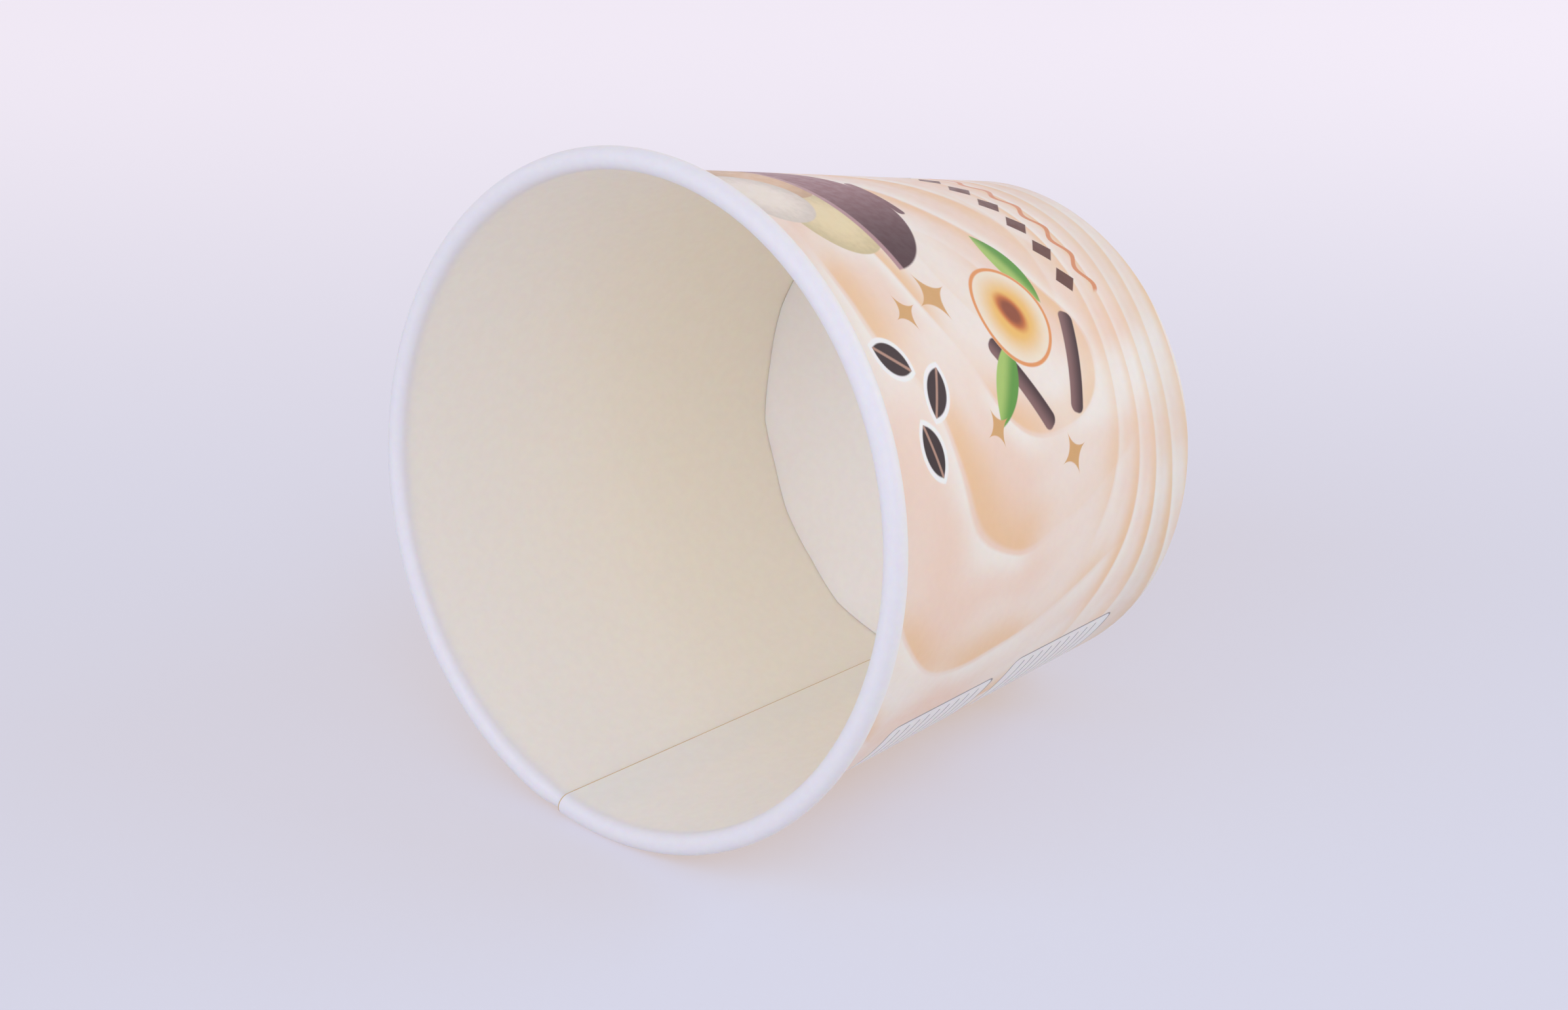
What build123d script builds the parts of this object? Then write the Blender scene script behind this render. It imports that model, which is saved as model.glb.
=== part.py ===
"""Paper ice cream cup: a printed board wall, wrapped into a cone with a glued side
lap, rolled outwards at the rim and folded in at the foot round the skirt of a
separate bottom disc. Millimetres, +Z up the cup's axis, the cup standing at Z = 0.
"""
import os
from math import acos, asin, atan2, cos, degrees, hypot, radians, sin, tan

from build123d import *

# Overall sizes
rim_diameter = 97.5
cup_height = 80.0
base_diameter = 73.4

# One ply of coated board, and what its seal adds between two plies
board = 0.4
glue_line = 0.02

# Rolled rim: its outer diameter, and the room its raw edge leaves beside the wall
roll_diameter = 3.2
roll_end_room = 0.1
roll_flat_turn = 22.5
roll_inner_flat_turn = 45

# Bottom joint: heights above the table, and the bend over the disc's edge
disc_height = 9.7
hem_height = 8.0
skirt_end_room = 0.25
disc_bend = 0.6
fold_chamfer = 0.25

# Side lap: the raw edge inside the cup stands at this angle from +X, seen from above
lap_angle = 127.8
lap_width = 8.0
ramp_width = 5.0
ramp_steps = 5

# Worked out from the sizes above
rim_radius = rim_diameter / 2
base_radius = base_diameter / 2
roll_radius = roll_diameter / 2
roll_centre_r = rim_radius - roll_radius
roll_centre_z = cup_height - roll_radius
rise_r = roll_centre_r - base_radius
wall_taper = atan2(rise_r, roll_centre_z) - asin(
    (roll_radius - board) / hypot(rise_r, roll_centre_z)
)
roll_turn = 360 - degrees(acos((roll_radius - 2 * board - roll_end_room) / roll_radius))
skirt_depth = board + glue_line
hem_depth = skirt_depth + board + glue_line
lap_turn = degrees(lap_width / rim_radius)
ramp_turn = degrees(ramp_width / rim_radius)


def wall_radius(height, depth):
    """Radius at a height, this deep under the wall's printed face."""
    return base_radius + height * tan(wall_taper) - depth / cos(wall_taper)


def plane_at(angle):
    """Upright half-plane through the axis: local X runs outwards, local Y up."""
    turn = radians(angle)
    return Plane(origin=(0, 0, 0), x_dir=(cos(turn), sin(turn), 0), z_dir=(sin(turn), -cos(turn), 0))


def roll_points(radius, flat_turn):
    """The roll's round section, from the wall over the top to its tucked raw edge.

    It is drawn as short flats of about the turn given, between points on a circle,
    with a point at the very top and one at the widest place.
    """
    start = 180 - degrees(wall_taper)
    points = []
    for begin, end in ((start, 90), (90, 0), (0, start - roll_turn)):
        flats = max(1, round((begin - end) / flat_turn))
        for flat in range(1, flats + 1):
            angle = radians(begin + (end - begin) * flat / flats)
            points.append((roll_centre_r + radius * cos(angle), roll_centre_z + radius * sin(angle)))
    return points


def board_face(shift, fold_z, flat_turn):
    """One face of the wall's board: down the hem, across the fold, up the wall and
    round the rim.

    shift is how far the face lies towards the printed side, starting from the face
    that the ice cream touches, and fold_z is its height under the bottom disc's skirt.
    """
    radius = roll_radius - shift
    return Polyline(
        (wall_radius(hem_height, hem_depth + shift), hem_height),
        (wall_radius(fold_z, hem_depth + shift), fold_z),
        (wall_radius(fold_z, board - shift), fold_z),
        (roll_centre_r - radius * cos(wall_taper), roll_centre_z + radius * sin(wall_taper)),
        *roll_points(radius, flat_turn),
    )


def wall_section(angle, shift=0.0, plies=1):
    """The wall's board cut at an angle: hem, foot fold, wall and rolled rim.

    shift moves it towards its printed side, in plies, to pass outside another ply.
    Whatever the plies, the fold's underside stays on the table.
    """
    thickness = plies * board
    with BuildSketch(plane_at(angle)) as section:
        with BuildLine():
            inner = board_face(shift * board, thickness, roll_flat_turn)
            outer = board_face(shift * board + thickness, 0, roll_inner_flat_turn)
            Line(inner @ 0, outer @ 0)
            Line(inner @ 1, outer @ 1)
        make_face()
        chamfer(section.vertices().group_by(Axis.Y)[0], length=fold_chamfer)
    return section.sketch


with BuildPart() as side_wall:
    # Lap: two plies sealed together
    double = wall_section(lap_angle, plies=2)
    revolve(double, axis=Axis.Z, revolution_arc=lap_turn)
    # Ramp: the wall steps out to pass behind the inner ply's raw edge
    shares = [step / ramp_steps for step in range(ramp_steps + 1)]
    loft(
        [wall_section(lap_angle - (1 - share) * ramp_turn, shift=share) for share in shares],
        ruled=True,
    )
    # Single wall, from the lap's outer raw edge round to the start of the ramp
    single = wall_section(lap_angle + lap_turn)
    revolve(single, axis=Axis.Z, revolution_arc=360 - lap_turn - ramp_turn)
side_wall.part.label = "side_wall"

with BuildPart() as base_disc:
    disc_radius = wall_radius(disc_height - disc_bend, skirt_depth)
    skirt_end = 2 * board + skirt_end_room
    with BuildSketch(Plane.XZ):
        with BuildLine():
            Polyline(
                (0, disc_height),
                (disc_radius - disc_bend, disc_height),
                (disc_radius, disc_height - disc_bend),
                (wall_radius(skirt_end, skirt_depth), skirt_end),
            )
            offset(amount=board, side=Side.RIGHT, kind=Kind.INTERSECTION)
        make_face()
    revolve(axis=Axis.Z)
base_disc.part.label = "base_disc"

os.makedirs("parts", exist_ok=True)
export_step(side_wall.part, "parts/side_wall.step")
export_step(base_disc.part, "parts/base_disc.step")
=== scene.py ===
"""Looks of the paper ice cream cup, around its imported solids.

The cup stands upright in its own frame. The photograph shows it lying on its side, so
the table is a plane that touches the rim's roll and the foot, and the camera is rolled
until that table is level.
"""

from math import acos, asin, atan2, cos, degrees, hypot, pi, radians, sin, tan

import bmesh
import bpy
from mathutils import Matrix, Vector


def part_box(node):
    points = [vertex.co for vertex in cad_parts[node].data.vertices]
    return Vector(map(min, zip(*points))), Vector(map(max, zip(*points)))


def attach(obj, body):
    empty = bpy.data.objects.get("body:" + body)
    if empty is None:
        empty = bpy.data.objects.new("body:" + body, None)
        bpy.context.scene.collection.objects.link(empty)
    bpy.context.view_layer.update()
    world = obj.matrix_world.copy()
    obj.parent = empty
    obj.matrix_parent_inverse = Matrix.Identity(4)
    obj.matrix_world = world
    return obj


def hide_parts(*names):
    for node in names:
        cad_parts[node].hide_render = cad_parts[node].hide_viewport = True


MM = 0.001

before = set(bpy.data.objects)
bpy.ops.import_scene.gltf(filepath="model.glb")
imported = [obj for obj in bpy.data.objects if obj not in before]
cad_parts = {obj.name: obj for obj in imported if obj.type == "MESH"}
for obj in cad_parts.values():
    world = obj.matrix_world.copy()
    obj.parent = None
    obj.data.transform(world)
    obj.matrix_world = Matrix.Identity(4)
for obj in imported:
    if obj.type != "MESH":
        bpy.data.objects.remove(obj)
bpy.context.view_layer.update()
wall_low, wall_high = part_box("side_wall")


def colour(red, green, blue):
    """A linear colour from sRGB values of 0 to 255."""
    linear = []
    for value in (red, green, blue):
        value /= 255
        linear.append(value / 12.92 if value <= 0.04045 else ((value + 0.055) / 1.055) ** 2.4)
    return (*linear, 1.0)


# The wall's sizes, as in the solids
rim_radius = min(wall_high.x, wall_high.y, -wall_low.x, -wall_low.y)
cup_height = wall_high.z
base_radius = 36.7 * MM
board = 0.4 * MM
glue_line = 0.02 * MM
roll_radius = 1.6 * MM
roll_end_room = 0.1 * MM
disc_height = 9.7 * MM
hem_height = 8.0 * MM
lap_angle = 127.8
lap_width = 8.0 * MM
ramp_width = 5.0 * MM

# Worked out from the sizes above
roll_centre_r = rim_radius - roll_radius
roll_centre_z = cup_height - roll_radius
rise_r = roll_centre_r - base_radius
wall_taper = atan2(rise_r, roll_centre_z) - asin(
    (roll_radius - board) / hypot(rise_r, roll_centre_z)
)
roll_turn = 360 - degrees(acos((roll_radius - 2 * board - roll_end_room) / roll_radius))
skirt_depth = board + glue_line
hem_depth = skirt_depth + board + glue_line
lap_turn = degrees(lap_width / rim_radius)
ramp_turn = degrees(ramp_width / rim_radius)

# The photograph's view of the cup, in degrees and metres
view_target = Vector((-3.4, 5.8, 44.3)) * MM
view_azimuth = -17.04
view_elevation = 46.37
view_roll = -103.7
view_distance = 481.5 * MM
view_lens = 76.67
view_nearest = 10 * MM

# The table: where the lying cup touches it, in degrees from +X, and the gap left there,
# its radius, how much of that fades out, and between which distances past its middle its
# colours go from near to far
contact_angle = 136.5
contact_room = 0.02 * MM
table_radius = 500 * MM
table_segments = 96
table_fade = 45 * MM
table_ramp = 30 * MM, 400 * MM

# The table's plain colour, the share of unseen light that passes it, and what the camera
# sees of it: a part that takes light and shade and a part that glows, each near and far.
# Near the cup the glowing part is warm and the shaded part blue, so that the table's
# shadows there turn warm: a painted warm bounce. Past the table the camera sees the backdrop.
table_plain = colour(240, 237, 240)
table_pass = 0.4
table_shade = colour(112, 169, 215), colour(240, 240, 237)
table_glow = colour(195, 161, 130), colour(142, 127, 148)
backdrop_tint = colour(246, 236, 245)

# The cup's light, cool as in the photograph. Each lamp lies this far to the right of the
# cup, above it and towards the camera, in metres, and has this power in watts.
world_light = 0.55
world_tint = colour(253, 252, 255)
lamp_tint = colour(240, 242, 255)
lamp_size = 0.8
lamps = {
    "left_softbox": (-0.7, 0.5, 0.5, 2.3),
    "camera_softbox": (0, 0.5, 0.9, 2.3),
    "right_softbox": (0.9, 0.5, 0, 2.8),
}


def wall_radius(height, depth):
    """Radius at a height, this deep under the wall's printed face."""
    return base_radius + height * tan(wall_taper) - depth / cos(wall_taper)


def smooth(share):
    """Eases a share from 0 to 1, flat at both ends."""
    share = min(max(share, 0.0), 1.0)
    return share * share * (3 - 2 * share)


def rounded(corners, radius, steps):
    """The inner corners of a line of (r, z) points, each as an arc of equal steps."""
    arcs = []
    for before, corner, after in zip(corners, corners[1:], corners[2:]):
        back = (Vector(before) - Vector(corner)).normalized()
        ahead = (Vector(after) - Vector(corner)).normalized()
        half = back.angle(ahead) / 2
        reach = radius / tan(half)
        centre = Vector(corner) + (back + ahead).normalized() * radius / sin(half)
        start = Vector(corner) + back * reach - centre
        end = Vector(corner) + ahead * reach - centre
        arcs.append([centre + start.slerp(end, step / steps) * radius for step in range(steps + 1)])
    return arcs


def between(start, end, steps):
    """Points on the straight from start to end, without its two ends."""
    return [Vector(start).lerp(Vector(end), step / steps) for step in range(1, steps)]


def add_strip(mesh, line, beside, material):
    """A strip of four-sided faces between two lines of vertices."""
    for start, end, beside_end, beside_start in zip(line, line[1:], beside[1:], beside):
        mesh.faces.new((start, end, beside_end, beside_start)).material_index = material


# Rows of the wall's mesh, along the board's section
hem_steps = 10
fold_steps = 4
wall_steps = 8
roll_steps = 30
fold_radius = 0.06 * MM


def sheet_face(shift, lift, depth):
    """One face of the wall's board, from the hem's top to the roll's raw edge.

    shift is how far the ply passes outside the inner one, lift how far its fold is
    raised off the table by the ply below, and depth is 0 on the food face and the
    board's thickness on the printed one.
    """
    out = shift + depth
    fold_z = lift + board - depth
    radius = roll_radius - out
    hem_top = (wall_radius(hem_height, hem_depth + out), hem_height)
    hem_foot = (wall_radius(fold_z, hem_depth + out), fold_z)
    wall_foot = (wall_radius(fold_z, board - out), fold_z)
    wall_top = (
        roll_centre_r - radius * cos(wall_taper),
        roll_centre_z + radius * sin(wall_taper),
    )
    corners = [hem_top, hem_foot, wall_foot, wall_top]
    hem_arc, wall_arc = rounded(corners, fold_radius + depth, fold_steps)
    points = [Vector(hem_top)] + between(hem_top, hem_arc[0], hem_steps) + hem_arc + wall_arc
    points += between(wall_arc[-1], wall_top, wall_steps)
    for step in range(roll_steps + 1):
        angle = pi - wall_taper - radians(roll_turn) * step / roll_steps
        r = roll_centre_r + radius * cos(angle)
        points.append(Vector((r, roll_centre_z + radius * sin(angle))))
    return points


# Columns of the wall's mesh, in degrees round the cup
column_turn = 0.5

# How soon the fold comes down to the table past the lap, in degrees
lift_turn = 3.0

# The sheet's raw side edges: the share of the board they are pressed to, how many degrees
# are pressed, and how many degrees of the food face at the inner edge take the raw colour,
# as the cut edge and as painted shade along the seam's step
edge_thickness = 0.7
edge_turn = 0.8
cut_and_shade_turn = 0.18


def wall_turns():
    """How far round from its inner side edge each column of the wall stands."""
    end = 360 + lap_turn
    even = [column_turn * step for step in range(round(end / column_turn))]
    return sorted(even + [cut_and_shade_turn, end - cut_and_shade_turn, end])


def ply_shift(turn):
    """How far the sheet passes outside its own start, this far round from it."""
    return board * smooth((turn - (360 - ramp_turn)) / ramp_turn)


def ply_lift(turn):
    """How far the sheet's fold is raised off the table by the ply below it at the lap."""
    return board * (1 - smooth((turn - lap_turn) / lift_turn))


def ply_thickness(turn):
    """The board's thickness: its two raw side edges are pressed thinner."""
    from_edge = min(turn, 360 + lap_turn - turn)
    return board * (edge_thickness + (1 - edge_thickness) * smooth(from_edge / edge_turn))


# The crimping wheel's ribs inside the hem
knurl_count = 90
knurl_depth = 0.1 * MM
knurl_low = 1.2 * MM
knurl_high = 7.0 * MM
knurl_fade = 0.6 * MM


def knurl(turn, row, z):
    """How far the crimping wheel's ribs press the hem inwards, at a row of the hem."""
    if row > hem_steps:
        return 0.0
    inside = min(z - knurl_low, knurl_high - z) / knurl_fade
    return -knurl_depth * smooth(inside) * (0.5 + 0.5 * cos(radians(turn * knurl_count)))


# The side of the cup that the print's middle is on, in degrees from +X
print_angle = 270


def print_place(turn, z):
    """Where a point of the wall lies in the print, in mm from its middle.

    X runs round the cup and Y up its side. The middle is half way up.
    """
    round_cup = radians(lap_angle + turn - print_angle) * wall_radius(cup_height / 2, 0)
    return round_cup / MM, (z - cup_height / 2) / cos(wall_taper) / MM


def make_wall():
    """The wall as one sheet of board, wound once round and past its own start."""
    mesh = bmesh.new()
    layout = mesh.verts.layers.float_vector.new("layout")
    columns = []
    for turn in wall_turns():
        angle = radians(lap_angle + turn)
        column = []
        for depth in (0.0, ply_thickness(turn)):
            line = []
            for row, (r, z) in enumerate(sheet_face(ply_shift(turn), ply_lift(turn), depth)):
                r += knurl(turn, row, z)
                vert = mesh.verts.new((r * cos(angle), r * sin(angle), z))
                vert[layout] = (*print_place(turn, z), 0)
                line.append(vert)
            column.append(line)
        columns.append(column)
    food, printed, raw = 0, 1, 2
    for left, right in zip(columns, columns[1:]):
        # The food face's first strip takes the raw colour: the cut edge, and painted shade along the
        # seam's step
        cut_and_shade = left is columns[0]
        add_strip(mesh, left[0], right[0], raw if cut_and_shade else food)
        add_strip(mesh, left[1], right[1], printed)
    for row in (0, -1):
        ends = [[column[side][row] for column in columns] for side in (0, 1)]
        add_strip(mesh, *ends, raw)
    for column in (columns[0], columns[-1]):
        add_strip(mesh, *column, raw)
    return mesh


# Columns and rows of the bottom disc's mesh
disc_columns = 480
disc_rows = 24
disc_bend = 0.3 * MM
bend_steps = 4
skirt_steps = 8
skirt_end = 1.05 * MM

# The disc's edge is creased in short chords that end at these angles from +X. Its
# corners stand higher on the wall than the middles of the chords, by turns more and less.
crease_corners = (5, 30, 59.5, 82, 108.5, 134, 157, 183, 206, 231, 256, 280, 307, 332, 365)
crease_low = 0.14 * MM
crease_highs = (0.92 * MM, 0.46 * MM)
crease_bow = 1.25
crease_reach = 5 * MM


def crease_height(angle):
    """How far the disc's edge is lifted, at an angle from +X."""
    angle = (angle - crease_corners[0]) % 360 + crease_corners[0]
    chord = sum(angle > corner for corner in crease_corners[1:-1])
    start, end = crease_corners[chord : chord + 2]
    from_middle = 2 * (angle - start) / (end - start) - 1
    high = crease_highs[(chord + (from_middle > 0)) % 2]
    return crease_low + (high - crease_low) * abs(from_middle) ** crease_bow


def disc_face(angle, depth):
    """One face of the bottom disc, from beside its middle to the skirt's raw end."""
    shift = ply_shift((angle - lap_angle) % 360)
    edge_z = disc_height + crease_height(angle) - depth
    corner = (wall_radius(edge_z, skirt_depth + depth - shift), edge_z)
    skirt_low = (wall_radius(skirt_end, skirt_depth + depth), skirt_end)
    bend = fold_radius if depth else disc_bend
    arc = rounded([(0, edge_z), corner, skirt_low], bend, bend_steps)[0]
    points = []
    for row in range(1, disc_rows):
        r = arc[0].x * row / disc_rows
        rise = smooth((r - arc[0].x + crease_reach) / crease_reach)
        points.append(Vector((r, disc_height - depth + (edge_z + depth - disc_height) * rise)))
    return points + arc + between(arc[-1], skirt_low, skirt_steps) + [Vector(skirt_low)]


def make_disc():
    """The bottom disc, closed all round: two coated faces and the skirt's raw end."""
    mesh = bmesh.new()
    columns = []
    centres = [mesh.verts.new((0, 0, disc_height - depth)) for depth in (0.0, board)]
    for number in range(disc_columns):
        angle = 360 * number / disc_columns
        turn = radians(angle)
        column = []
        for depth in (0.0, board):
            points = disc_face(angle, depth)
            column.append([mesh.verts.new((r * cos(turn), r * sin(turn), z)) for r, z in points])
        columns.append(column)
    coated, raw = 0, 1
    for left, right in zip(columns, columns[1:] + columns[:1]):
        for centre, line, beside in zip(centres, left, right):
            mesh.faces.new((centre, line[0], beside[0])).material_index = coated
            add_strip(mesh, line, beside, coated)
        add_strip(mesh, (left[0][-1], left[1][-1]), (right[0][-1], right[1][-1]), raw)
    return mesh


def mesh_data(mesh, name, materials):
    """A finished mesh with its materials."""
    data = bpy.data.meshes.new(name)
    mesh.to_mesh(data)
    mesh.free()
    for material in materials:
        data.materials.append(material)
    return data


def add_object(name, data, place=Matrix()):
    """An object in the scene, from its data and its place."""
    made = bpy.data.objects.new(name, data)
    made.matrix_world = place
    bpy.context.scene.collection.objects.link(made)
    return made


def finish_board(mesh, name, materials):
    """A piece of board: smooth, but sharp where two of its materials meet."""
    bmesh.ops.recalc_face_normals(mesh, faces=mesh.faces)
    for face in mesh.faces:
        face.smooth = True
    for edge in mesh.edges:
        edge.smooth = len({face.material_index for face in edge.link_faces}) == 1
    return add_object(name, mesh_data(mesh, name, materials))


# How softly a printed outline ends, in mm
edge_soft = 0.15

# A sparkle's arms curve inwards, because this is under 1
star_power = 0.55


class Shader:
    """The nodes of a material or of the world, with short names for those used here.

    A value may be a plain number or colour, a node's socket, or a node, which stands for
    its first output. An outline is a value that is negative inside it, and grows
    outwards. A place is in the units of the print or of the object.
    """

    def __init__(self, owner):
        owner.use_nodes = True
        self.tree = owner.node_tree
        self.tree.nodes.clear()

    def put(self, socket, value):
        """Gives an input its value, as a link or as it is."""
        if isinstance(value, bpy.types.Node):
            value = value.outputs[0]
        if isinstance(value, bpy.types.NodeSocket):
            self.tree.links.new(value, socket)
        else:
            socket.default_value = value

    def node(self, kind, *values, **named):
        """A new node, with values for its first inputs, or for inputs by name."""
        made = self.tree.nodes.new("ShaderNode" + kind)
        for socket, value in zip(made.inputs, values):
            self.put(socket, value)
        for name, value in named.items():
            self.put(made.inputs[name.replace("_", " ")], value)
        return made

    def math(self, operation, *values):
        made = self.node("Math", *values)
        made.operation = operation
        return made.outputs[0]

    def vector(self, operation, *values):
        made = self.node("VectorMath", *values)
        made.operation = operation
        return made.outputs["Value" if operation == "LENGTH" else "Vector"]

    def ramp(self, value, start, end, low=0.0, high=1.0):
        """Eases from low to high while the value goes from start to end."""
        made = self.node("MapRange", value, start, end, low, high)
        made.interpolation_type = "SMOOTHSTEP"
        return made.outputs[0]

    def hump(self, value, front, back):
        """1 between two slopes, each given by where it is 0 and where it reaches 1."""
        return self.math("MULTIPLY", self.ramp(value, *front), self.ramp(value, *back))

    def mix(self, share, below, above):
        """A colour over another one, by the sockets that the node has for colours."""
        made = self.node("Mix")
        made.data_type = "RGBA"
        for socket, value in ((0, share), (6, below), (7, above)):
            self.put(made.inputs[socket], value)
        return made.outputs[2]

    def blend(self, value, start, end, first, last):
        """A colour that goes from the first to the last while the value goes from start to end."""
        return self.mix(self.ramp(value, start, end), first, last)

    def noise(self, place, scale, detail=2.0, kind="Fac"):
        return self.node("TexNoise", Vector=place, Scale=scale, Detail=detail).outputs[kind]

    def patches(self, place, scale, start, end, low=0.0, high=1.0, detail=0.0):
        """Soft patches: low where a noise is under start, and high where it is over end."""
        return self.ramp(self.noise(place, scale, detail), start, end, low, high)

    def sway(self, place, scale, reach):
        """Shifts within the print, up to half a reach each way, from a noise."""
        shift = self.vector("SUBTRACT", self.noise(place, scale, 0.0, "Color"), (0.5, 0.5, 0.5))
        return self.vector("MULTIPLY", shift, (reach, reach, 0))

    def axis(self, place, name):
        return self.node("SeparateXYZ", place).outputs[name]

    def at(self, place, x, y, turn=0.0, size=(1.0, 1.0)):
        """Places measured from (x, y), turned by some degrees and divided by a size."""
        made = self.node("Mapping", place, (x, y, 0), (0, 0, radians(turn)), (*size, 1))
        made.vector_type = "TEXTURE"
        return made.outputs[0]

    def disc(self, place, radius=1.0):
        """Outline of a circle about the middle of the place."""
        return self.math("SUBTRACT", self.vector("LENGTH", place), radius)

    def leaf(self, place, half_length, half_width):
        """Outline of a pointed leaf along X, where two circles overlap."""
        radius = (half_length**2 + half_width**2) / (2 * half_width)
        rise = radius - half_width
        sides = [self.disc(self.at(place, 0, side * rise), radius) for side in (-1, 1)]
        return self.math("MAXIMUM", *sides)

    def plate(self, place, half_x, half_y, corner):
        """Outline of a rectangle with round corners."""
        straight = (half_x - corner, half_y - corner, 0)
        folded = self.vector("SUBTRACT", self.vector("ABSOLUTE", place), straight)
        return self.disc(self.vector("MAXIMUM", folded, (0, 0, 0)), corner)

    def star(self, place, reach):
        """Outline of a four-point sparkle."""
        folded = self.vector("ABSOLUTE", place)
        arms = []
        for name in ("X", "Y"):
            along = self.math("DIVIDE", self.axis(folded, name), reach)
            arms.append(self.math("POWER", along, star_power))
        return self.math("SUBTRACT", self.math("ADD", *arms), 1.0)

    def line(self, value, half_width):
        """Outline of a line along which a value is 0."""
        return self.math("SUBTRACT", self.math("ABSOLUTE", value), half_width)

    def inset(self, outline, by):
        """The same outline, moved inwards."""
        return self.math("ADD", outline, by)

    def inside(self, outline, soft=edge_soft):
        """1 inside an outline and 0 outside it, with a soft edge."""
        return self.ramp(outline, -soft, soft, 1.0, 0.0)

    def paint(self, below, outline, ink, soft=edge_soft, within=None):
        """Ink inside an outline, over what is below it, and only within a share if given."""
        share = self.inside(outline, soft)
        if within is not None:
            share = self.math("MULTIPLY", within, share)
        return self.mix(share, below, ink)

    def across(self, place, half, dark, light):
        """An ink that goes from dark to light along Y, from half below 0 to half above."""
        return self.blend(self.axis(place, "Y"), -half, half, dark, light)


# The print's inks
cream = colour(251, 234, 221)
peach = colour(249, 221, 201)
milk = colour(255, 249, 243)
caramel = colour(244, 203, 150)
crest_white = colour(255, 244, 234)
wafer_brown = colour(186, 128, 78)
wafer_gold = colour(234, 190, 128)
glass_dark = colour(74, 40, 44)
glass_pale = colour(150, 104, 108)
brim_pale = colour(186, 146, 148)
bark_dark = colour(66, 40, 40)
bark_pale = colour(140, 104, 100)
leaf_dark = colour(96, 160, 60)
leaf_pale = colour(176, 208, 110)
flesh_deep = colour(248, 200, 110)
flesh_pale = colour(252, 236, 214)
skin_orange = colour(236, 160, 96)
stone_pale = colour(214, 120, 56)
stone_dark = colour(150, 76, 40)
bean_white = colour(255, 253, 250)
bean_dark = colour(52, 34, 32)
bean_pale = colour(190, 150, 130)
sparkle_gold = colour(222, 176, 116)
lozenge_brown = colour(104, 62, 48)
wave_copper = colour(226, 152, 106)
panel_grey = colour(120, 116, 122)
panel_white = colour(250, 248, 250)
rule_grey = colour(140, 137, 146)

# What follows is laid out in the print: mm from its middle, x round the cup and y up its
# side, and turns in degrees. A noise's scale is in waves to the mm.

# A wave, in shares of its length: where each slope starts, and where it is full
hollow_front = 0.0, 0.05
hollow_back = 0.55, 0.04
hollow_strength = 0.8
crest_front = 0.4, 0.97
crest_back = 1.0, 0.96
crest_power = 3.0


def wave_ink(shader, phase, strength, ground):
    """Cream waves over a ground: a caramel hollow, then a slow rise to a white crest."""
    share = shader.math("FRACT", phase)
    hollow = shader.hump(share, hollow_front, hollow_back)
    hollow = shader.math("MULTIPLY", hollow, shader.math("MULTIPLY", strength, hollow_strength))
    ground = shader.mix(hollow, ground, caramel)
    rise = shader.math("POWER", shader.ramp(share, *crest_front), crest_power)
    crest = shader.math("MULTIPLY", rise, shader.ramp(share, *crest_back))
    return shader.mix(shader.math("MULTIPLY", crest, strength), ground, crest_white)


# The ground's patches of peach and of milk, the second stretched
peach_patches = {"scale": 0.035, "start": 0.35, "end": 0.65, "detail": 1.0}
milk_patches = {"scale": 0.05, "start": 0.5, "end": 0.75, "high": 0.7}
milk_stretch = {"x": 40, "y": 0, "turn": 20, "size": (1, 2.2)}

# Ripples: the scale and reach of each sway, their middle, turn and squash, where they are
# strong, and between which heights they start. The waves are counted inwards, by a power
# of the distance from their middle.
ripple_sways = (0.02, 28), (0.07, 3)
ripple_place = 5, 3, 15, (1.0, 0.8)
ripple_power = 0.8
ripple_rate = -0.17
ripple_patches = {"scale": 0.045, "start": 0.36, "end": 0.6, "low": 0.12, "high": 0.95}
ripple_start = -28, -12


def cream_ripples(shader, place):
    """The print's ground: pale cream and caramel with rings of ripples."""
    warped = place
    for scale, reach in ripple_sways:
        warped = shader.vector("ADD", warped, shader.sway(place, scale, reach))
    ground = shader.mix(shader.patches(warped, **peach_patches), cream, peach)
    glow = shader.patches(shader.at(warped, **milk_stretch), **milk_patches)
    ground = shader.mix(glow, ground, milk)
    ring = shader.vector("LENGTH", shader.at(warped, *ripple_place))
    phase = shader.math("MULTIPLY", shader.math("POWER", ring, ripple_power), ripple_rate)
    strength = shader.patches(place, **ripple_patches)
    above_foot = shader.ramp(shader.axis(place, "Y"), *ripple_start)
    return wave_ink(shader, phase, shader.math("MULTIPLY", strength, above_foot), ground)


# Streaks: the noise they sway by and how far, how many lie in a mm, between which heights
# they start, and where they are thin
streak_slant = {"x": 0, "y": 0, "turn": 8, "size": (4.5, 1.8)}
streak_noise = {"scale": 0.05, "detail": 0.0}
streak_sway = 55
streak_rate = 0.12
streak_start = -10, -24
thin_patches = {"scale": 0.08, "start": 0.36, "end": 0.62, "low": 0.5}
thin_stretch = {"x": 9, "y": 0, "size": (3, 1)}


def foot_streaks(shader, place, ground):
    """White streaks that run together along the foot."""
    height = shader.axis(place, "Y")
    sway = shader.noise(shader.at(place, **streak_slant), **streak_noise)
    shifted = shader.math("ADD", height, shader.math("MULTIPLY", sway, streak_sway))
    phase = shader.math("MULTIPLY", shifted, streak_rate)
    thin = shader.patches(shader.at(place, **thin_stretch), **thin_patches)
    strength = shader.math("MULTIPLY", shader.ramp(height, *streak_start), thin)
    return wave_ink(shader, phase, strength, ground)


# Wafer stick: its middle and turn, half its sizes and its corners, half the pitch of the
# bars across it, and where the grooves between them end
wafer_place = 36, 30, 62
wafer_half = 8, 1.7
wafer_corner = 0.4
wafer_pitch = 1.1
wafer_groove = 0.1, 0.5


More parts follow.
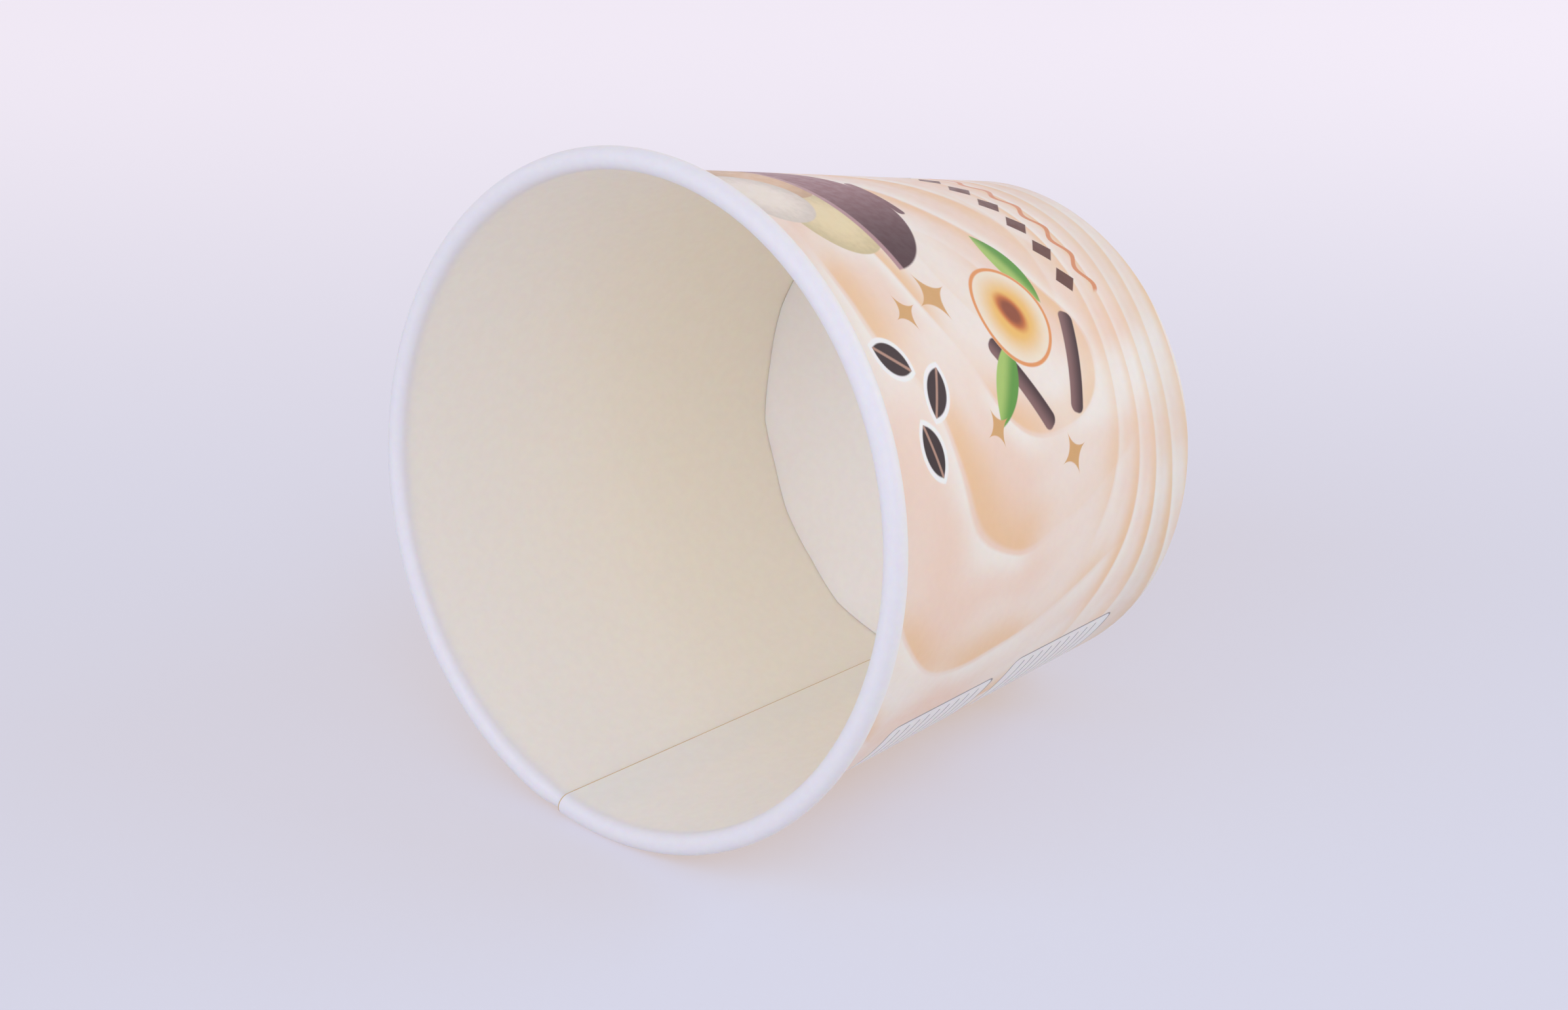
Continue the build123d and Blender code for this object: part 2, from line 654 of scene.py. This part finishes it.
def wafer_stick(shader, place, below):
    """A wafer stick with dark grooves across it."""
    local = shader.at(place, *wafer_place)
    bars = shader.math("PINGPONG", shader.axis(local, "X"), wafer_pitch)
    ink = shader.blend(bars, *wafer_groove, wafer_brown, wafer_gold)
    return shader.paint(below, shader.plate(local, *wafer_half, wafer_corner), ink)


# Scoops: the middle and sRGB ink of each, how much darker its shade is, over which
# distances from its outline that grows, and how far crumbs move it
scoops = (20, 20, (240, 224, 178)), (33, 20, (226, 190, 150)), (26.5, 27, (246, 236, 222))
scoop_radius = 7.5
scoop_darker = 60
scoop_shade = -3, 3
scoop_shade_share = 0.5
crumb_scale = 0.9
crumb_detail = 4.0
crumb_reach = 4


def ice_scoops(shader, place, below):
    """Three scoops of ice cream, crumbly and shaded towards their outline."""
    crumbs = shader.math("MULTIPLY", shader.noise(place, crumb_scale, crumb_detail), crumb_reach)
    for x, y, tint in scoops:
        outline = shader.disc(shader.at(place, x, y), scoop_radius)
        shade = shader.ramp(shader.math("ADD", outline, crumbs), *scoop_shade, 0.0, scoop_shade_share)
        darker = [value - scoop_darker for value in tint]
        below = shader.paint(below, outline, shader.mix(shade, colour(*tint), colour(*darker)))
    return below


# Dish: the x of its middle, between which x its glass grows paler, its brim's height, and
# between which heights from there the pale line along it begins
dish_x = 26.5
dish_shine = 12, 34
brim_y = 16
brim_line = -1.3, -0.9

# The dish's bowl: half its sizes, how far its middle is above the brim, and its soft
# edge, as a share of its sizes. The dish's foot: height, half sizes and corners.
bowl_half = 17, 14
bowl_rise = 1
bowl_soft = 0.012
dish_foot_y = 2.6
dish_foot = 5.5, 0.8, 0.7


def dish(shader, place, below):
    """A dark glass dish on a foot, with a pale line along its brim."""
    glass = shader.blend(shader.axis(place, "X"), *dish_shine, glass_dark, glass_pale)
    foot = shader.plate(shader.at(place, dish_x, dish_foot_y), *dish_foot)
    below = shader.paint(below, foot, glass)
    height = shader.axis(shader.at(place, 0, brim_y), "Y")
    bowl = shader.disc(shader.at(place, dish_x, brim_y + bowl_rise, size=bowl_half))
    bowl = shader.math("MAXIMUM", bowl, shader.math("DIVIDE", height, bowl_half[1]))
    ink = shader.blend(height, *brim_line, glass, brim_pale)
    return shader.paint(below, bowl, ink, bowl_soft)


# Cinnamon sticks and leaves: the middle and turn of each, and half their sizes
stick_places = (-9, 1, 35), (-7, -13, -20)
stick_half = 8, 1.5
stick_corner = 1.2
leaf_places = (-8.5, 5, -35), (9, -9, 20)
leaf_half = 7, 2.4


def cinnamon_sticks(shader, place, below):
    """Two cinnamon sticks."""
    for x, y, turn in stick_places:
        local = shader.at(place, x, y, turn)
        ink = shader.across(local, stick_half[1], bark_dark, bark_pale)
        below = shader.paint(below, shader.plate(local, *stick_half, stick_corner), ink)
    return below


def leaves(shader, place, below):
    """Two leaves, darker on one side."""
    for x, y, turn in leaf_places:
        local = shader.at(place, x, y, turn)
        ink = shader.across(local, leaf_half[1] / 2, leaf_dark, leaf_pale)
        below = shader.paint(below, shader.leaf(local, *leaf_half), ink)
    return below


# Apricot: its middle and radius, between which radii its flesh grows paler, half its
# skin's thickness, and its stone's place and half sizes, with a soft edge and a dark core
# as shares of those
apricot_middle = 1, -3
apricot_radius = 8
flesh_radii = 3, 7.6
skin_half = 0.3
stone_place = 0.4, 0, 30, (3.2, 2.4)
stone_soft = 0.25
stone_core = 0.3


def apricot(shader, place, below):
    """Half an apricot with its stone."""
    local = shader.at(place, *apricot_middle)
    spread = shader.vector("LENGTH", local)
    flesh = shader.blend(spread, *flesh_radii, flesh_deep, flesh_pale)
    below = shader.paint(below, shader.disc(local, apricot_radius), flesh)
    skin = shader.math("SUBTRACT", spread, apricot_radius - skin_half)
    below = shader.paint(below, shader.line(skin, skin_half), skin_orange)
    stone = shader.disc(shader.at(local, *stone_place))
    below = shader.paint(below, stone, stone_pale, stone_soft)
    return shader.paint(below, shader.inset(stone, stone_core), stone_dark, stone_soft)


# Beans: the middle and turn of each, half their sizes, their border, and half the line
# along them
bean_places = (-15, 26, 20), (-8, 22, -30), (-3, 29, 60)
bean_half = 3.6, 2.0
bean_border = 0.7
bean_line = 0.22


def beans(shader, place, below):
    """Three dark beans with a white border, and a pale line along each."""
    for x, y, turn in bean_places:
        local = shader.at(place, x, y, turn)
        bean = shader.leaf(local, *bean_half)
        below = shader.paint(below, shader.inset(bean, -bean_border), bean_white)
        below = shader.paint(below, bean, bean_dark)
        line = shader.line(shader.axis(local, "Y"), bean_line)
        below = shader.paint(below, line, bean_pale, within=shader.inside(bean))
    return below


# Sparkles: the middle and reach of each, and the turn and soft edge of all
sparkle_places = (5, 13, 4.2), (3, 21, 3.0), (-14, 10, 3.0), (-20, -8, 3.4)
sparkle_turn = 20
sparkle_soft = 0.06


def sparkles(shader, place, below):
    """Small gold four-point sparkles."""
    for x, y, reach in sparkle_places:
        star = shader.star(shader.at(place, x, y, sparkle_turn), reach)
        below = shader.paint(below, star, sparkle_gold, sparkle_soft)
    return below


# Garland: its height, where it starts and ends, half the pitch and half the size of its
# lozenges, and how far below them its wave lies, how far that swings, and half its width
garland_y = -21
garland_start = 3, 4
garland_end = 46, 44
lozenge_pitch = 3.0
lozenge_half = 2.3
wave_below = 5.5
wave_swing = 0.9
wave_half = 0.55


def garland(shader, place, below):
    """A row of brown lozenges over a thin caramel wave."""
    row = shader.axis(shader.at(place, 0, garland_y), "Y")
    along = shader.axis(place, "X")
    within = shader.hump(along, garland_start, garland_end)
    cell = shader.math("PINGPONG", along, lozenge_pitch)
    lozenge = shader.math("ADD", cell, shader.math("ABSOLUTE", row))
    lozenge = shader.inset(lozenge, -lozenge_half)
    below = shader.paint(below, lozenge, lozenge_brown, within=within)
    wave = shader.math("MULTIPLY", shader.math("SINE", along), wave_swing)
    wave = shader.math("SUBTRACT", shader.math("ADD", row, wave_below), wave)
    return shader.paint(below, shader.line(wave, wave_half), wave_copper, within=within)


# Panels: the middle and half the sizes of each, their corners and border, and the margins
# and corners of the block of rules, with half the rules' pitch and width, and soft edges
panel_places = (-66, 10, 11, 12.5), (-64.5, -19, 11.5, 13)
panel_corner = 1.6
panel_border = 0.3
block_margins = 1.6, 1.8
block_corner = 0.2
block_soft = 0.05
rule_pitch = 1.2
rule_half = 0.16
rule_soft = 0.1


def label_panels(shader, place, below):
    """Two white panels with a thin outline and plain ruled lines."""
    for x, y, half_x, half_y in panel_places:
        local = shader.at(place, x, y)
        panel = shader.plate(local, half_x, half_y, panel_corner)
        below = shader.paint(below, panel, panel_grey)
        below = shader.paint(below, shader.inset(panel, panel_border), panel_white)
        margin_x, margin_y = block_margins
        block = shader.plate(local, half_x - margin_x, half_y - margin_y, block_corner)
        rules = shader.math("PINGPONG", shader.axis(local, "Y"), rule_pitch)
        rules = shader.inset(rules, -rule_half)
        block = shader.inside(block, block_soft)
        below = shader.paint(below, rules, rule_grey, rule_soft, within=block)
    return below


motifs = [
    foot_streaks, label_panels, garland, wafer_stick, ice_scoops, dish, cinnamon_sticks,
    leaves, apricot, beans, sparkles,
]


def print_artwork(shader):
    """The printed face's colours, laid out in millimetres round the cup."""
    layout = shader.node("Attribute")
    layout.attribute_name = "layout"
    place = layout.outputs["Vector"]
    ink = cream_ripples(shader, place)
    for motif in motifs:
        ink = motif(shader, place, ink)
    return ink


# The wall's unprinted face deep in the cup, near its mouth and on the roll, and the
# heights between which one gives way to the next. The board is one colour: the warmer
# tint deep in the cup is painted warm bounce light, and the cooler tint on the roll is
# painted cool light.
painted_deep_bounce = colour(255, 245, 231)
painted_mouth_bounce = colour(253, 246, 240)
painted_roll_light = colour(238, 236, 244)
painted_bounce_heights = cup_height / 3, cup_height * 0.9
painted_roll_light_heights = cup_height - 1.7 * roll_radius, cup_height - 0.3 * roll_radius

disc_tint = colour(249, 247, 246)
# Raw cut board; its strip on the food face at the seam also stands for painted shade
raw_and_seam_shade_tint = colour(212, 184, 138)


def wall_face_painted_light(shader):
    """The wall's unprinted coated face, with painted warm bounce light deep in the cup and painted
    cool light where it is rolled out at the rim.
    """
    height = shader.axis(shader.node("TexCoord").outputs["Object"], "Z")
    inner = shader.blend(height, *painted_bounce_heights, painted_deep_bounce, painted_mouth_bounce)
    return shader.blend(height, *painted_roll_light_heights, inner, painted_roll_light)


# How far light spreads inside the board, and how much of it: paper passes warm light
board_spread = 0.5 * MM
board_spread_tint = (1.0, 0.6, 0.32)
board_spread_share = 0.5

# The board's fibres: how finely they cloud its colour and gloss, by which part of the
# noise's range and how much, and how finely and far they rise
fibre_cloud = 700
fibre_detail = 3.0
fibre_range = 0.3, 0.7
fibre_tint = colour(120, 100, 84)
fibre_shade = 0.02
fibre_gloss = 0.06
fibre_grain = 2500
fibre_rise = 0.004 * MM


def coated_board(name, roughness, gloss, ground):
    """Coated paper board, faintly clouded and roughened by its fibres.

    ground is its colour, or a function that lays out its colours in a shader.
    """
    material = bpy.data.materials.new(name)
    made = Shader(material)
    place = made.node("TexCoord").outputs["Object"]
    cloud = made.noise(place, fibre_cloud, fibre_detail)
    shade = made.ramp(cloud, *fibre_range, 0.0, fibre_shade)
    tint = made.mix(shade, ground(made) if callable(ground) else ground, fibre_tint)
    rough = made.ramp(cloud, *fibre_range, roughness - fibre_gloss, roughness + fibre_gloss)
    grain = made.node("Bump", Height=made.noise(place, fibre_grain), Distance=fibre_rise)
    surface = made.node(
        "BsdfPrincipled",
        Base_Color=tint,
        Roughness=rough,
        Normal=grain,
        Specular_IOR_Level=gloss,
        Subsurface_Weight=board_spread_share,
        Subsurface_Radius=board_spread_tint,
        Subsurface_Scale=board_spread,
    )
    made.node("OutputMaterial", Surface=surface)
    return material


food_board = coated_board("food_board", roughness=0.45, gloss=0.5, ground=wall_face_painted_light)
disc_board = coated_board("disc_board", roughness=0.45, gloss=0.5, ground=disc_tint)
printed_board = coated_board("printed_board", roughness=0.35, gloss=0.3, ground=print_artwork)
raw_and_seam_shade_board = coated_board("raw_and_seam_shade_board", roughness=0.8, gloss=0.3, ground=raw_and_seam_shade_tint)

cup_wall = finish_board(make_wall(), "cup_wall", [food_board, printed_board, raw_and_seam_shade_board])
cup_disc = finish_board(make_disc(), "cup_disc", [disc_board, raw_and_seam_shade_board])
boards = (cup_wall, "side_wall", "printed_board"), (cup_disc, "base_disc", "plain_board")
for piece, node, slot in boards:
    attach(piece, "root")
    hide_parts(node)


def facing(point, way):
    """A place at a point, whose Z axis points along a way."""
    return Matrix.Translation(point) @ way.to_track_quat("Z", "Y").to_matrix().to_4x4()


def make_camera():
    """The camera, which looks at the cup as the photograph does."""
    azimuth, elevation = radians(view_azimuth), radians(view_elevation)
    back = Vector((sin(azimuth) * cos(elevation), -cos(azimuth) * cos(elevation), sin(elevation)))
    data = bpy.data.cameras.new("camera")
    data.lens = view_lens
    data.clip_start = view_nearest
    place = facing(view_target + back * view_distance, back)
    camera = add_object("camera", data, place @ Matrix.Rotation(radians(view_roll), 4, "Z"))
    bpy.context.scene.camera = camera
    return camera


def table_axes():
    """The table's up direction, and the point under the cup's foot where it touches."""
    lap_foot = base_radius + board
    rise = roll_centre_r - lap_foot
    slope = atan2(rise, roll_centre_z) + asin(roll_radius / hypot(rise, roll_centre_z))
    turn = radians(contact_angle)
    out = Vector((cos(turn), sin(turn), 0))
    up = -out * cos(slope) + Vector((0, 0, sin(slope)))
    return up, out * lap_foot - up * contact_room


camera = make_camera()
table_up, table_touch = table_axes()
picture_right = camera.matrix_world.col[0].to_3d()
table_right = (picture_right - table_up * picture_right.dot(table_up)).normalized()
table_front = table_right.cross(table_up)
table_middle = view_target - table_up * (view_target - table_touch).dot(table_up)


def seen(shader):
    """1 for what the camera sees straight, mirrored or through glass, otherwise 0."""
    rays = shader.node("LightPath").outputs
    through = shader.math("MAXIMUM", rays["Is Glossy Ray"], rays["Is Transmission Ray"])
    return shader.math("MAXIMUM", rays["Is Camera Ray"], through)


def table_material():
    """A pale table top that fades out at its edge and shows from above only.

    It lets a part of the light from below pass, so that the side of the cup that lies on
    it isn't black in a view from there.
    """
    material = bpy.data.materials.new("table_top")
    made = Shader(material)
    place = made.node("TexCoord").outputs["Object"]
    to_camera = seen(made)
    far = made.ramp(made.axis(place, "Y"), *table_ramp)
    shade = made.mix(to_camera, table_plain, made.mix(far, *table_shade))
    lit = made.node("BsdfDiffuse", Color=shade)
    glow = made.node("Emission", Color=made.mix(far, *table_glow), Strength=to_camera)
    fade = made.ramp(made.vector("LENGTH", place), table_radius - table_fade, table_radius)
    behind = made.node("NewGeometry").outputs["Backfacing"]
    passed = made.math("MULTIPLY", made.math("SUBTRACT", 1.0, to_camera), table_pass)
    clear = made.math("MAXIMUM", passed, made.math("MAXIMUM", fade, behind))
    pale = made.node("AddShader", lit, glow)
    top = made.node("MixShader", clear, pale, made.node("BsdfTransparent"))
    made.node("OutputMaterial", Surface=top)
    return material


def make_table():
    """A round table top under the lying cup."""
    mesh = bmesh.new()
    bmesh.ops.create_circle(mesh, cap_ends=True, radius=table_radius, segments=table_segments)
    turn = Matrix((table_right, -table_front, table_up)).transposed().to_4x4()
    data = mesh_data(mesh, "table", [table_material()])
    table = add_object("table", data, Matrix.Translation(table_middle) @ turn)


def make_lamp(name, right, up, near, power):
    """A square soft lamp, placed from the cup's middle along the table's directions."""
    lamp = bpy.data.lights.new(name, "AREA")
    lamp.size = lamp_size
    lamp.energy = power
    lamp.color = lamp_tint[:3]
    way = table_right * right + table_up * up + table_front * near
    add_object(name, lamp, facing(view_target + way, way))


def make_world():
    """A pale backdrop for the camera, and plain light from all round for the cup."""
    world = bpy.data.worlds.new("studio")
    bpy.context.scene.world = world
    made = Shader(world)
    light = made.node("Background", Color=world_tint, Strength=world_light)
    backdrop = made.node("Background", Color=backdrop_tint, Strength=1.0)
    made.node("OutputWorld", Surface=made.node("MixShader", seen(made), light, backdrop))


make_table()
for name, (right, up, near, power) in lamps.items():
    make_lamp(name, right, up, near, power)
make_world()
bpy.context.scene.view_settings.view_transform = "Standard"
